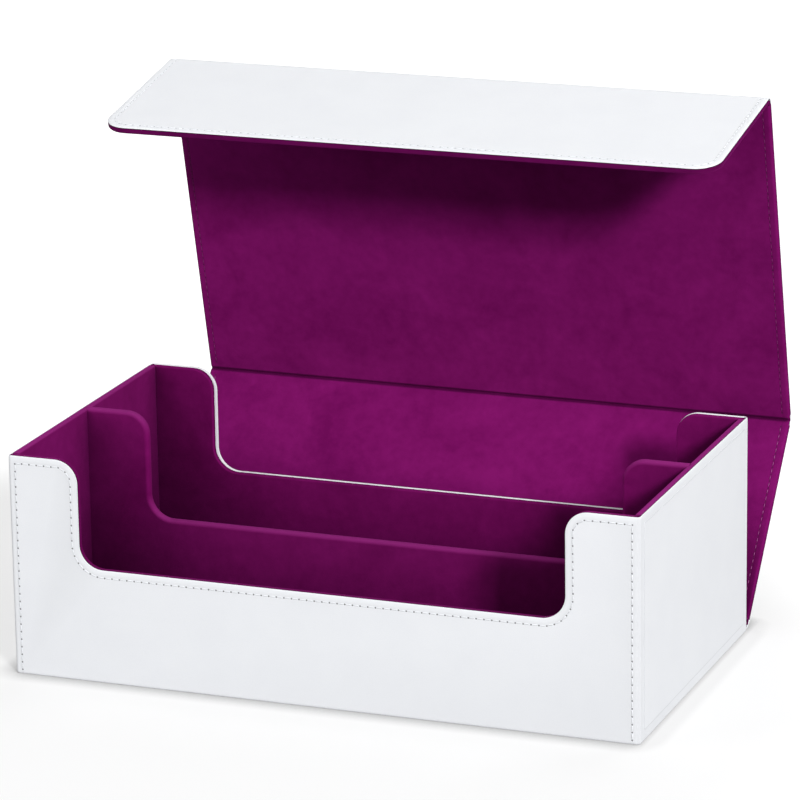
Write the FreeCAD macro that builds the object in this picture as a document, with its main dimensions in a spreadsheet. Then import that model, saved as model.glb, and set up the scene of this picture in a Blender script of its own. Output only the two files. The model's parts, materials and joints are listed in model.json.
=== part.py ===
import FreeCAD, Part
import Sketcher
import math
import os
import re

# Two-bay card storage box in stitched leather over board, with a cover of three hinged panels.
# Frame: origin at the middle of the underside, +X to the right along the box, +Y to the back,
# +Z up.  The back panel swings up, the lid folds over the bays and the flap folds down in front.
# All sizes are millimetres and degrees.

V = FreeCAD.Vector
X_AXIS = V(1, 0, 0)
Z_AXIS = V(0, 0, 1)
CLOSE = 0.001

doc = FreeCAD.newDocument("CardBox")
sheet = doc.addObject("Spreadsheet::Sheet", "sizes")

DRIVING = {
    "box_width": 305.0,          # outside, along X
    "box_depth": 165.2,          # outside, along Y
    "box_height": 105.7,         # table to wall rim
    "leather": 0.8,              # outer skin
    "lining": 0.7,               # microfibre lining
    "wall_board": 2.2,           # grey board in the box walls
    "floor_board": 2.2,          # grey board under the bays
    "divider_board": 3.4,        # two boards glued back to back
    "divider_rise": 0.5,         # divider rim above the wall rims
    "cover_board": 2.0,          # grey board in the cover panels
    "corner_radius": 1.8,        # upright outer corners of the box
    "post_width": 34.7,          # wall left standing at each end of a cut-out
    "cut_floor": 54.6,           # floor of the finger cut-outs, above the table
    "cut_top_radius": 11.0,      # inner top corner of a post
    "cut_foot_radius": 11.5,     # where a post meets the low wall
    "back_skin_lap": 0.8,        # back skin, past the lined edge of its wall
    "rim_radius": 1.1,           # padded inner edge of the lined wall rims
    "divider_rim_radius": 1.6,   # padded edges of the divider's rim
    "patch_inset": 4.2,          # side patch, in from the rim and the foot of the side wall
    "patch_end_inset": 6.0,      # side patch, in from the front and the back
    "patch_thickness": 0.4,      # side patch, proud of the side wall
    "patch_radius": 1.5,         # corners of the side patch
    "base_inset": 1.6,           # base skin, in from the edges of the underside
    "cover_inset": 0.5,          # cover panels, in from each side of the box
    "lid_clearance": 0.3,        # closed lid above the divider's rim
    "side_clearance": 1.0,       # closed back panel and flap off the walls
    "fold_clearance": 0.5,       # between the inner edges of two panels folded square
    "flap_length": 88.8,         # fold line to free edge
    "flap_radius": 12.0,         # free corners of the flap
    "panel_edge_radius": 1.1,    # padded inner edges of the cover panels
    "magnet_diameter": 15.0,
    "magnet_thickness": 1.4,
    "magnet_play": 0.15,         # magnet to the wall and the floor of its pocket
    "magnet_spacing": 230.0,     # centre to centre, along X
    "magnet_height": 42.0,       # magnet centres above the table, cover closed
    "base_open": 40.5,           # back panel, opened from upright
    "rear_open": 36.2,           # lid, opened from square to the back panel
    "flap_open": 3.2,            # flap, opened from square to the lid
}
for row, (alias, amount) in enumerate(DRIVING.items(), start=1):
    sheet.set(f"A{row}", alias)
    sheet.set(f"B{row}", str(amount))
    sheet.setAlias(f"B{row}", alias)
doc.recompute()

# Planes of the box as expressions of the sizes: skin outside, board, lining, then the open bay.
SKIN_X = "box_width / 2"
SKIN_Y = "box_depth / 2"
BOARD_X = f"({SKIN_X} - leather)"
BOARD_Y = f"({SKIN_Y} - leather)"
LINING_X = f"({BOARD_X} - wall_board)"
LINING_Y = f"({BOARD_Y} - wall_board)"
BAY_X = f"({LINING_X} - lining)"
BAY_Y = f"({LINING_Y} - lining)"
CUT_X = f"({SKIN_X} - post_width)"
DIVIDER_Y = "(divider_board / 2 + lining)"
DIVIDER_TOP = "(box_height + divider_rise)"
BOARD_TOP = "(box_height - lining)"
FLOOR_TOP = "(leather + floor_board)"

# A cover panel turns about the line where its leather meets its board, half a gap off its end.
PANEL_X = f"({SKIN_X} - cover_inset)"
PANEL_INNER = "(cover_board + lining)"
HALF_GAP = f"({PANEL_INNER} + fold_clearance)"
HINGE_Y = f"({SKIN_Y} + side_clearance + {PANEL_INNER})"
BACK_LENGTH = f"({DIVIDER_TOP} + lid_clearance + {PANEL_INNER} - leather)"
LID_LENGTH = f"(box_depth + 2 * (side_clearance + {PANEL_INNER}))"


def bound(expression):
    # the same expression, reading each named size from the sheet
    def in_sheet(word):
        return f"sizes.{word[0]}" if word[0] in DRIVING else word[0]
    return re.sub(r"[a-z_]+", in_sheet, expression)


def value(expression):
    return float(sheet.evalExpression(bound(expression)))


def mirrored(expression):
    return (f"-({expression})", expression)


# ---- features

def new_body(label):
    body = doc.addObject("PartDesign::Body", label)
    body.Label = label
    return body


def origin_feature(body, role):
    return next(item for item in body.Origin.OriginFeatures if item.Role == role)


def rectangle(body, plane, offset, across, up):
    # sketch of a rectangle, dimensioned from the body's origin; across and up are (low, high)
    sketch = body.newObject("Sketcher::SketchObject", f"{body.Name}_sketch")
    sketch.AttachmentSupport = [(origin_feature(body, plane), "")]
    sketch.MapMode = "FlatFace"
    sketch.setExpression(".AttachmentOffset.Base.z", bound(offset))
    left, right = value(across[0]), value(across[1])
    bottom, top = value(up[0]), value(up[1])
    corners = [V(left, bottom), V(right, bottom), V(right, top), V(left, top)]
    for start, end in zip(corners, corners[1:] + corners[:1]):
        sketch.addGeometry(Part.LineSegment(start, end), False)
    for line in range(4):
        sketch.addConstraint(Sketcher.Constraint("Coincident", line, 2, (line + 1) % 4, 1))
        sketch.addConstraint(Sketcher.Constraint("Vertical" if line % 2 else "Horizontal", line))
    limits = [("DistanceX", 0, left, across[0]), ("DistanceY", 0, bottom, up[0]),
              ("DistanceX", 1, right, across[1]), ("DistanceY", 2, top, up[1])]
    for kind, line, amount, expression in limits:
        index = sketch.addConstraint(Sketcher.Constraint(kind, -1, 1, line, 1, amount))
        sketch.setExpression(f"Constraints[{index}]", bound(expression))
    return sketch


def add_block(body, along, x, y, z, cut=False):
    # pads, or pockets, the block between the given limits; the sketch lies across one axis
    plane, across, up, limits, sign = {
        "x": ("YZ_Plane", y, z, x, 1),
        "y": ("XZ_Plane", x, z, (y[1], y[0]), -1),
        "z": ("XY_Plane", x, y, z, 1),
    }[along]
    start, end = (limits[1], limits[0]) if cut else limits
    offset = start if sign > 0 else f"-({start})"
    sketch = rectangle(body, plane, offset, across, up)
    doc.recompute()
    before = body.Tip.Shape.Volume if cut else 0.0
    kind = "PartDesign::Pocket" if cut else "PartDesign::Pad"
    feature = body.newObject(kind, f"{body.Name}_{'pocket' if cut else 'pad'}")
    feature.Profile = (sketch, [""])
    feature.setExpression("Length", bound(f"abs({limits[1]} - ({limits[0]}))"))
    doc.recompute()
    if cut and feature.Shape.Volume > before - CLOSE:
        raise RuntimeError(f"{feature.Name} cuts nothing")
    return feature


def round_corners(body, along, places, radius):
    # fillets the straight edges that run along one axis through the given places
    others = [axis for axis in "xyz" if axis != along]
    wanted = [[value(first), value(second)] for first, second in places]
    tip = body.Tip
    names = []
    for index, edge in enumerate(tip.Shape.Edges, start=1):
        low, high = edge.Vertexes[0].Point, edge.Vertexes[-1].Point
        middle = (low + high) / 2
        runs = all(abs(getattr(high - low, axis)) < CLOSE for axis in others)
        spot = [getattr(middle, axis) for axis in others]
        if runs and any(math.dist(spot, place) < CLOSE for place in wanted):
            names.append(f"Edge{index}")
    return add_fillet(body, tip, names, radius)


def round_outline(body, along, plane, radius, keep):
    # fillets the edges that lie in one plane and whose middle is one to keep
    level = value(plane)
    tip = body.Tip
    names = []
    for index, edge in enumerate(tip.Shape.Edges, start=1):
        points = edge.discretize(3)
        if all(abs(getattr(point, along) - level) < CLOSE for point in points) and keep(points[1]):
            names.append(f"Edge{index}")
    return add_fillet(body, tip, names, radius)


def add_fillet(body, tip, names, radius):
    feature = body.newObject("PartDesign::Fillet", f"{body.Name}_fillet")
    feature.Base = (tip, names)
    feature.setExpression("Radius", bound(radius))
    doc.recompute()
    return feature


def less(label, blank, tool):
    # the blank less the tool, such as a lining less the board that it wraps
    piece = doc.addObject("Part::Cut", label)
    piece.Label = label
    piece.Base = blank
    piece.Tool = tool
    doc.recompute()
    return piece


# ---- the box

def cut_wall(label, half_width, y, foot, rim, shrink):
    # upright wall with the finger cut-out, the edge of the cut drawn back by shrink
    body = new_body(label)
    cut_x = f"({CUT_X} + {shrink})"
    floor = f"(cut_floor - {shrink})"
    add_block(body, "y", mirrored(half_width), y, (foot, rim))
    add_block(body, "y", mirrored(cut_x), y, (floor, rim), cut=True)
    sides = mirrored(cut_x)
    round_corners(body, "y", [(side, rim) for side in sides], f"cut_top_radius - {shrink}")
    round_corners(body, "y", [(side, floor) for side in sides], f"cut_foot_radius + {shrink}")
    return body


def on_cut_rim(half_width, shrink="0"):
    # true for the edges of the rim and the cut-out, false for the wall's ends and foot
    end = value(half_width)
    floor = value(f"cut_floor - {shrink}")
    return lambda middle: middle.z > floor - CLOSE and abs(middle.x) < end - CLOSE


def round_outer_corners(body):
    # the upright corners that the leather goes round
    corners = [(side, f"-{BOARD_Y}") for side in mirrored(BOARD_X)]
    round_corners(body, "z", corners, "corner_radius - leather")


def wall_board(label, lap="0"):
    y = (f"-{BOARD_Y}", f"-{LINING_Y}")
    body = cut_wall(label, BOARD_X, y, "leather", f"({BOARD_TOP} - {lap})", f"(lining + {lap})")
    round_outer_corners(body)
    return body


def side_board(label):
    body = new_body(label)
    add_block(body, "x", (f"-{BOARD_X}", f"-{LINING_X}"), mirrored(LINING_Y), ("leather", BOARD_TOP))
    return body


def wall_leather(label):
    # one sheet round the wall's outside and both corners, to the seams half way along the sides
    body = new_body(label)
    z = ("leather", "box_height")
    add_block(body, "z", mirrored(SKIN_X), (f"-{SKIN_Y}", "0"), z)
    round_corners(body, "z", [(side, f"-{SKIN_Y}") for side in mirrored(SKIN_X)], "corner_radius")
    add_block(body, "z", mirrored(BOARD_X), (f"-{BOARD_Y}", "0"), z, cut=True)
    round_outer_corners(body)
    y = (f"-{SKIN_Y}", f"-{BOARD_Y}")
    add_block(body, "y", mirrored(CUT_X), y, ("cut_floor", "box_height"), cut=True)
    round_corners(body, "y", [(side, "box_height") for side in mirrored(CUT_X)], "cut_top_radius")
    round_corners(body, "y", [(side, "cut_floor") for side in mirrored(CUT_X)], "cut_foot_radius")
    return body


def wall_lining_blank(label, lap="0"):
    # lap is how far the wall's skin stands past the lined edge
    y = (f"-{BOARD_Y}", f"-{BAY_Y}")
    body = cut_wall(label, BOARD_X, y, FLOOR_TOP, f"(box_height - {lap})", lap)
    round_outer_corners(body)
    round_outline(body, "y", f"-{BAY_Y}", "rim_radius", on_cut_rim(BOARD_X, lap))
    return body


def side_lining_blank(label):
    body = new_body(label)
    add_block(body, "x", (f"-{BOARD_X}", f"-{BAY_X}"), mirrored(BAY_Y), (FLOOR_TOP, "box_height"))
    round_corners(body, "y", [(f"-{BAY_X}", "box_height")], "rim_radius")
    return body


def divider():
    y = mirrored("divider_board / 2")
    board = cut_wall("divider_board", BAY_X, y, FLOOR_TOP, f"({DIVIDER_TOP} - lining)", "lining")
    blank = cut_wall("divider_lining_blank", BAY_X, mirrored(DIVIDER_Y), FLOOR_TOP, DIVIDER_TOP, "0")
    for face in mirrored(DIVIDER_Y):
        round_outline(blank, "y", face, "divider_rim_radius", on_cut_rim(BAY_X))
    return board, less("divider_lining", blank, board)


def side_patch(label):
    body = new_body(label)
    x = (f"-({SKIN_X} + patch_thickness)", f"-({SKIN_X})")
    y = mirrored(f"{SKIN_Y} - patch_end_inset")
    z = ("leather + patch_inset", "box_height - patch_inset")
    add_block(body, "x", x, y, z)
    round_corners(body, "x", [(side, level) for side in y for level in z], "patch_radius")
    return body


def disc_pair(label, place, grown="0"):
    # two discs standing on the XY plane of place, grown all round to make their pockets
    discs = []
    for side in mirrored("magnet_spacing / 2"):
        disc = doc.addObject("Part::Cylinder", f"{label}_disc")
        disc.setExpression("Radius", bound(f"magnet_diameter / 2 + {grown}"))
        disc.setExpression("Height", bound(f"magnet_thickness + 2 * {grown}"))
        disc.Placement = place * FreeCAD.Placement(V(value(side), 0, 0), FreeCAD.Rotation())
        discs.append(disc)
    pair = doc.addObject("Part::Compound", label)
    pair.Label = label
    pair.Links = discs
    return pair


# ---- the cover, each panel flat in its own frame: +Y away from its fold line, +Z to its lining

def panel(name, length_end, free_end):
    # leather, board and lining of one panel; a free end has round corners
    y = (HALF_GAP, length_end)
    inner_y = (f"({HALF_GAP} + lining)", f"({length_end} - lining)")
    leather = new_body(f"{name}_leather")
    board = new_body(f"{name}_blank" if free_end else f"{name}_board")
    blank = new_body(f"{name}_lining_blank")
    add_block(leather, "z", mirrored(PANEL_X), y, ("-leather", "0"))
    add_block(board, "z", mirrored(f"{PANEL_X} - lining"), inner_y, ("0", "cover_board"))
    add_block(blank, "z", mirrored(PANEL_X), y, ("0", PANEL_INNER))
    if free_end:
        for body in (leather, blank):
            round_corners(body, "z", [(side, y[1]) for side in mirrored(PANEL_X)], "flap_radius")
        corners = [(side, inner_y[1]) for side in mirrored(f"{PANEL_X} - lining")]
        round_corners(board, "z", corners, "flap_radius - lining")
    round_outline(blank, "z", PANEL_INNER, "panel_edge_radius", lambda middle: True)
    return leather, board, blank


def hinge_strip(label, turn, inner, outer):
    # a sheet bent by the fold's angle about the bend's middle; inner and outer lie off its leather face
    body = new_body(label)
    bend = f"({HALF_GAP} / tan({turn} / 2 * 1 deg))"
    depth = (f"-({bend} + {outer})", f"-({bend} - {inner})")
    sketch = rectangle(body, "XZ_Plane", "0", mirrored(PANEL_X), depth)
    doc.recompute()
    revolution = body.newObject("PartDesign::Revolution", f"{label}_bend")
    revolution.Profile = (sketch, [""])
    revolution.ReferenceAxis = (origin_feature(body, "X_Axis"), [""])
    revolution.setExpression("Angle", bound(turn))
    doc.recompute()
    if revolution.Shape.CenterOfMass.y < 0:
        revolution.Reversed = True
        doc.recompute()
    return body


def moved(place, y, z=0.0, turn=0.0):
    return place * FreeCAD.Placement(V(0, y, z), FreeCAD.Rotation(X_AXIS, turn))


def fold_strips(name, before, length, turn):
    # the leather and lining across one fold, from the end of the panel before it
    bend = value(f"{HALF_GAP} / tan({turn} / 2 * 1 deg)")
    place = moved(before, value(f"{length} - {HALF_GAP}"), bend)
    keep(hinge_strip(f"{name}_leather", turn, "0", "leather"), place)
    keep(hinge_strip(f"{name}_lining", turn, "lining", "0"), place)


pieces = []


def keep(piece, place=None):
    if place is not None:
        piece.Placement = place
    pieces.append(piece)
    return piece


AS_MADE = FreeCAD.Placement()
TURNED = FreeCAD.Placement(V(), FreeCAD.Rotation(Z_AXIS, 180))

# walls: the back and right ones are the front and left ones turned about the middle of the box
front_wall = wall_board("front_wall_blank")
back_board = keep(wall_board("back_board", "back_skin_lap"), TURNED)
left_board = keep(side_board("left_board"))
right_board = keep(side_board("right_board"), TURNED)
base_board = new_body("base_board")
add_block(base_board, "z", mirrored(LINING_X), mirrored(LINING_Y), ("leather", FLOOR_TOP))
keep(base_board)

keep(wall_leather("front_leather"))
keep(wall_leather("back_leather"), TURNED)
keep(side_patch("left_side_patch"))
keep(side_patch("right_side_patch"), TURNED)
base_leather = new_body("base_leather")
base_y = (f"-({SKIN_Y} - base_inset)", f"({HINGE_Y} - {HALF_GAP})")
add_block(base_leather, "z", mirrored(f"{SKIN_X} - base_inset"), base_y, ("0", "leather"))
keep(base_leather)

# linings: each wraps over the rim of the boards behind it
wall_boards = doc.addObject("Part::Compound", "wall_boards")
wall_boards.Links = [front_wall, back_board, left_board, right_board]
for name, blank, place in (
    ("front_lining", wall_lining_blank("front_lining_blank"), AS_MADE),
    ("back_lining", wall_lining_blank("back_lining_blank", "back_skin_lap"), TURNED),
    ("left_lining", side_lining_blank("left_lining_blank"), AS_MADE),
    ("right_lining", side_lining_blank("right_lining_blank"), TURNED),
):
    blank.Placement = place
    keep(less(name, blank, wall_boards))
for name, place in (("front_bay_floor", AS_MADE), ("rear_bay_floor", TURNED)):
    bay_floor = new_body(name)
    bay_y = (f"-{BAY_Y}", f"-{DIVIDER_Y}")
    add_block(bay_floor, "z", mirrored(BAY_X), bay_y, (FLOOR_TOP, f"{FLOOR_TOP} + lining"))
    keep(bay_floor, place)
for piece in divider():
    keep(piece)

# cover, from the hinge line behind the box's foot to the flap
box_place = FreeCAD.Placement(V(0, value(HINGE_Y), value("leather")), FreeCAD.Rotation())
back_turn, lid_turn, flap_turn = "(90 - base_open)", "(90 - rear_open)", "(90 - flap_open)"
back_place = moved(box_place, 0, 0, value(back_turn))
lid_place = moved(back_place, value(BACK_LENGTH), 0, value(lid_turn))
flap_place = moved(lid_place, value(LID_LENGTH), 0, value(flap_turn))
cover_boards = {}
for name, end, place in (
    ("cover_back", f"({BACK_LENGTH} - {HALF_GAP})", back_place),
    ("cover_lid", f"({LID_LENGTH} - {HALF_GAP})", lid_place),
    ("cover_flap", "flap_length", flap_place),
):
    leather, board, blank = panel(name, end, free_end=name == "cover_flap")
    board.Placement = place
    blank.Placement = place
    keep(leather, place)
    keep(less(f"{name}_lining", blank, board))
    cover_boards[name] = board
keep(cover_boards["cover_back"])
keep(cover_boards["cover_lid"])
fold_strips("base_hinge", box_place, "0", back_turn)
fold_strips("rear_fold", back_place, BACK_LENGTH, lid_turn)
fold_strips("flap_fold", lid_place, LID_LENGTH, flap_turn)

# closing magnets: under the front leather, and under the flap's lining where they meet them closed
front_seat = FreeCAD.Placement(
    V(0, -value(BOARD_Y), value("magnet_height")), FreeCAD.Rotation(X_AXIS, -90))
flap_magnet_y = value(f"{BACK_LENGTH} + leather - magnet_height")
flap_seat = moved(flap_place, flap_magnet_y, value("cover_board"), 180)
for name, board_name, wall, seat in (
    ("front", "front_board", front_wall, front_seat),
    ("flap", "cover_flap_board", cover_boards["cover_flap"], flap_seat),
):
    pockets = disc_pair(f"{name}_magnet_pockets", seat, grown="magnet_play")
    keep(less(board_name, wall, pockets))
    keep(disc_pair(f"{name}_magnets", moved(seat, 0, value("magnet_play"))))

# ---- check and write

doc.recompute()
for item in doc.Objects:
    if {"Invalid", "Error"} & set(item.State):
        raise RuntimeError(f"{item.Name} did not recompute: {item.State}")
os.makedirs("parts", exist_ok=True)
for piece in pieces:
    shape = piece.Shape
    if shape.isNull() or not shape.isValid() or not shape.Solids:
        raise RuntimeError(f"{piece.Label} has no valid solid")
    shape.exportStep(f"parts/{piece.Label}.step")
    print(f"{piece.Label}: {len(shape.Solids)} solid, {shape.Volume / 1000:.2f} cm3")
for name, place in (("base_hinge", back_place), ("rear_fold", lid_place), ("flap_fold", flap_place)):
    print(f"{name} axis at y {place.Base.y:.3f}, z {place.Base.z:.3f}")
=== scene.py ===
import json
import math

import bpy
from mathutils import Matrix, Vector


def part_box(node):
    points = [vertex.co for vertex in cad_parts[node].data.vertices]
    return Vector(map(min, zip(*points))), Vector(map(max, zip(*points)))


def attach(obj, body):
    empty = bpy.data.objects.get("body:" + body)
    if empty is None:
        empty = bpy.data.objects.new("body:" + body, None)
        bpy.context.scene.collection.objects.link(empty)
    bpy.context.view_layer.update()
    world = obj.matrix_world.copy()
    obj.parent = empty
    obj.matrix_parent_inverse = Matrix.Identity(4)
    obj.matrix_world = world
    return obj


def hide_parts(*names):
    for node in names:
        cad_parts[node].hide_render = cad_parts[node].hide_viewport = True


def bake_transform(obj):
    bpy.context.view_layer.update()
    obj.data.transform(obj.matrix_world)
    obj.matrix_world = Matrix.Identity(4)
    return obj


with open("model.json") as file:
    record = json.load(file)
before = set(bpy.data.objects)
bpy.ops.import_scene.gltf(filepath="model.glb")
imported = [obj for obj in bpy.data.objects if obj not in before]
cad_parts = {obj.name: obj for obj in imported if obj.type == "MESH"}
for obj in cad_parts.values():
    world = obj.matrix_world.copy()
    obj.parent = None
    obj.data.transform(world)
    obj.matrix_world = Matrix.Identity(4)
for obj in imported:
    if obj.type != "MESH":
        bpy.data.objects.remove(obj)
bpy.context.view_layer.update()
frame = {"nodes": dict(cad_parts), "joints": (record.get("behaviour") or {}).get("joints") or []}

# Card storage box: white leather over board, purple microfibre lining, fold-over cover.
# Everything is in metres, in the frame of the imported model.

mm = 0.001
tiny = 0.02 * mm
weld = {"cut": 1e-7, "merge": 1e-6, "mirror": 1e-5}    # vertices nearer than this become one

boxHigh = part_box("front_leather")[1]
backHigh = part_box("back_leather")[1]
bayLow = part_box("front_bay_floor")[0]
dividerLow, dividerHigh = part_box("divider_lining")

box = {
    "halfX": boxHigh.x,             # outside of the leather
    "halfY": backHigh.y,
    "foot": tiny,                   # the leather reaches down over the edge of the base
    "rim": boxHigh.z,
    "leather": 0.8 * mm,
    "lining": 0.7 * mm,
    "wall": backHigh.y + bayLow.y,  # leather, board and lining together
    "cornerRadius": 1.8 * mm,
    "cornerSteps": 6,
    "cornerShade": 1.8,             # painted shade round the right corner
    "backLap": 0.8 * mm,            # back skin, past the lined edge of its wall
    "backShift": (-0.4 * mm, 0, 0.45 * mm),    # its lining is glued a little off, so the rim shows unevenly
    "cutX": boxHigh.x - 34.7 * mm,  # side of the finger cut-outs
    "cutFloor": 54.6 * mm,
    "cutTopRadius": 11.0 * mm,
    "cutFootRadius": 11.5 * mm,
    "arcSteps": 14,
}
oversize = 12 * mm                  # plates are made this much too long, then trimmed


def only(piece):
    bpy.ops.object.select_all(action="DESELECT")
    piece.select_set(True)
    bpy.context.view_layer.objects.active = piece


def pick(piece, kind, test):
    # leaves edit mode open with the vertices, edges or faces whose middle passes the test
    only(piece)
    mesh = piece.data
    for part in (mesh.vertices, mesh.edges, mesh.polygons):
        part.foreach_set("select", [False] * len(part))
    if kind == "VERT":
        for vertex in mesh.vertices:
            vertex.select = test(vertex.co)
    if kind == "EDGE":
        for edge in mesh.edges:
            start, end = (mesh.vertices[index].co for index in edge.vertices)
            edge.select = test(start, end)
    if kind == "FACE":
        for face in mesh.polygons:
            face.select = test(face.center, face.normal)
    bpy.context.tool_settings.mesh_select_mode = [kind == name for name in ("VERT", "EDGE", "FACE")]
    bpy.ops.object.mode_set(mode="EDIT")


def done():
    bpy.ops.object.mode_set(mode="OBJECT")


def anyFace(centre, normal):
    return True


def addPlane(name, centre, size, turn=(0, 0, 0)):
    bpy.ops.object.select_all(action="DESELECT")
    bpy.ops.mesh.primitive_plane_add(size=1, location=centre, rotation=turn)
    piece = bpy.context.object
    piece.name = name
    piece.data.name = name
    piece.scale = (*size, 1)
    bpy.ops.object.transform_apply(location=True, rotation=True, scale=True)
    return piece


def cutAcross(piece, at, normal, trim=False):
    # an edge where the plane meets the piece; trim takes off what lies beyond it
    pick(piece, "FACE", anyFace)
    bpy.ops.mesh.bisect(plane_co=at, plane_no=normal, clear_outer=trim, threshold=weld["cut"])
    done()


def addRings(piece, profile, test=anyFace):
    # insets the face ring by ring: (in from the edge, out along the normal)
    pick(piece, "FACE", test)
    for inward, rise in profile:
        bpy.ops.mesh.inset(thickness=inward, depth=rise)
    done()


def quarterRoll(radius, steps=5):
    # rings of a round edge that starts square to the face and ends flush with it
    turns = [math.pi / 2 * step / steps for step in range(steps + 1)]
    return [
        (radius * (math.cos(a) - math.cos(b)), radius * (math.sin(b) - math.sin(a)))
        for a, b in zip(turns, turns[1:])
    ]


def extrude(piece, test, by):
    pick(piece, "EDGE", test)
    bpy.ops.mesh.extrude_region_move(TRANSFORM_OT_translate={"value": by})
    done()


def applyModifier(piece, kind, **settings):
    only(piece)
    modifier = piece.modifiers.new(kind.lower(), kind)
    for name, value in settings.items():
        setattr(modifier, name, value)
    bpy.ops.object.modifier_apply(modifier=modifier.name)


def faceOut(piece, outward):
    # merged, with all its faces turned the way that its largest one should look
    pick(piece, "FACE", anyFace)
    bpy.ops.mesh.remove_doubles(threshold=weld["merge"])
    bpy.ops.mesh.normals_make_consistent(inside=False)
    done()
    largest = max(piece.data.polygons, key=lambda face: face.area)
    if largest.normal.dot(outward) < 0:
        pick(piece, "FACE", anyFace)
        bpy.ops.mesh.flip_normals()
        done()


def thicken(piece, thickness):
    applyModifier(piece, "SOLIDIFY", thickness=thickness, offset=-1, use_even_offset=True)


def rollOff(piece, end, outward, length, depth, steps=4):
    # rounds the open sheet off towards one end, where it has sunk by the depth
    end, outward = Vector(end), Vector(outward)
    for step in range(steps):
        cutAcross(piece, end - outward * length * (1 - math.sin(math.pi / 2 * step / steps)), outward)
    sunk = []
    for vertex in piece.data.vertices:
        reach = (vertex.co - end).dot(outward) / length + 1
        if reach > 0:
            fall = depth * (1 - math.sqrt(max(0, 1 - min(reach, 1) ** 2)))
            sunk.append((vertex, vertex.normal * fall))
    for vertex, fall in sunk:
        vertex.co -= fall


def mark(piece, name, share):
    # a number on every vertex, which the material reads by its name
    marks = piece.data.attributes.new(name, "FLOAT", "POINT")
    for vertex in piece.data.vertices:
        marks.data[vertex.index].value = share(vertex)


def smooth(piece, degrees=40):
    # large flat faces keep their own normal, and their round edges take up the turn
    only(piece)
    bpy.ops.object.shade_smooth_by_angle(angle=math.radians(degrees))
    applyModifier(piece, "WEIGHTED_NORMAL", keep_sharp=True)
    return piece


def moveMesh(piece, matrix):
    only(piece)
    piece.matrix_world = matrix
    bpy.ops.object.transform_apply(location=True, rotation=True, scale=True)
    return piece


def newGroup(name, inputs, outputs):
    group = bpy.data.node_groups.new(name, "ShaderNodeTree")
    for title, kind, amount in inputs:
        socket = group.interface.new_socket(title, in_out="INPUT", socket_type=kind)
        if amount is not None:
            socket.default_value = amount
    for title, kind in outputs:
        group.interface.new_socket(title, in_out="OUTPUT", socket_type=kind)
    return group, group.nodes.new("NodeGroupInput"), group.nodes.new("NodeGroupOutput")


def addNode(tree, kind, values=None, **settings):
    node = tree.nodes.new(kind)
    for name, value in settings.items():
        setattr(node, name, value)
    for name, value in (values or {}).items():
        node.inputs[name].default_value = value
    return node


def link(tree, source, target):
    tree.links.new(source, target)


def makeLeatherGrain():
    # fine pebbled grain: cells of two sizes and a faint unevenness
    group, given, result = newGroup(
        "leatherGrain",
        [("Vector", "NodeSocketVector", None), ("Pebbles", "NodeSocketFloat", 1100.0),
         ("Unevenness", "NodeSocketFloat", 55.0)],
        [("Height", "NodeSocketFloat"), ("Crease", "NodeSocketFloat"), ("Patch", "NodeSocketFloat")],
    )
    wobble = addNode(group, "ShaderNodeTexNoise", {"Scale": 420.0, "Detail": 2.0})
    shift = addNode(group, "ShaderNodeVectorMath", {1: (0.0006, 0.0006, 0.0006)}, operation="MULTIPLY")
    bent = addNode(group, "ShaderNodeVectorMath", operation="ADD")
    pebbles = addNode(group, "ShaderNodeTexVoronoi", feature="DISTANCE_TO_EDGE")
    fold = addNode(group, "ShaderNodeMapRange", {"From Max": 0.22})
    flip = addNode(group, "ShaderNodeMath", {0: 1.0}, operation="SUBTRACT")
    patch = addNode(group, "ShaderNodeTexNoise", {"Detail": 3.0})
    link(group, given.outputs["Vector"], wobble.inputs["Vector"])
    link(group, wobble.outputs["Color"], shift.inputs[0])
    link(group, given.outputs["Vector"], bent.inputs[0])
    link(group, shift.outputs[0], bent.inputs[1])
    link(group, bent.outputs[0], pebbles.inputs["Vector"])
    link(group, given.outputs["Pebbles"], pebbles.inputs["Scale"])
    link(group, pebbles.outputs["Distance"], fold.inputs["Value"])
    link(group, fold.outputs["Result"], result.inputs["Height"])
    link(group, fold.outputs["Result"], flip.inputs[1])
    link(group, flip.outputs[0], result.inputs["Crease"])
    link(group, given.outputs["Vector"], patch.inputs["Vector"])
    link(group, given.outputs["Unevenness"], patch.inputs["Scale"])
    link(group, patch.outputs["Fac"], result.inputs["Patch"])
    return group


def makeNap():
    # brushed microfibre: broad strokes, small tufts and single fibres
    group, given, result = newGroup(
        "nap",
        [("Vector", "NodeSocketVector", None), ("Strokes", "NodeSocketFloat", 28.0),
         ("Tufts", "NodeSocketFloat", 210.0), ("Fibres", "NodeSocketFloat", 2600.0)],
        [("Stroke", "NodeSocketFloat"), ("Height", "NodeSocketFloat")],
    )
    strokes = addNode(group, "ShaderNodeTexNoise", {"Detail": 4.0, "Roughness": 0.6, "Distortion": 0.8})
    tufts = addNode(group, "ShaderNodeTexNoise", {"Detail": 3.0, "Roughness": 0.6})
    fibres = addNode(group, "ShaderNodeTexNoise", {"Detail": 2.0})
    mixed = addNode(group, "ShaderNodeMix", {"Factor": 0.38}, data_type="FLOAT")
    height = addNode(group, "ShaderNodeMix", {"Factor": 0.6}, data_type="FLOAT")
    for node, title in ((strokes, "Strokes"), (tufts, "Tufts"), (fibres, "Fibres")):
        link(group, given.outputs["Vector"], node.inputs["Vector"])
        link(group, given.outputs[title], node.inputs["Scale"])
    link(group, strokes.outputs["Fac"], mixed.inputs["A"])
    link(group, tufts.outputs["Fac"], mixed.inputs["B"])
    link(group, mixed.outputs["Result"], result.inputs["Stroke"])
    link(group, tufts.outputs["Fac"], height.inputs["A"])
    link(group, fibres.outputs["Fac"], height.inputs["B"])
    link(group, height.outputs["Result"], result.inputs["Height"])
    return group


leatherGrain = makeLeatherGrain()
nap = makeNap()


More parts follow.
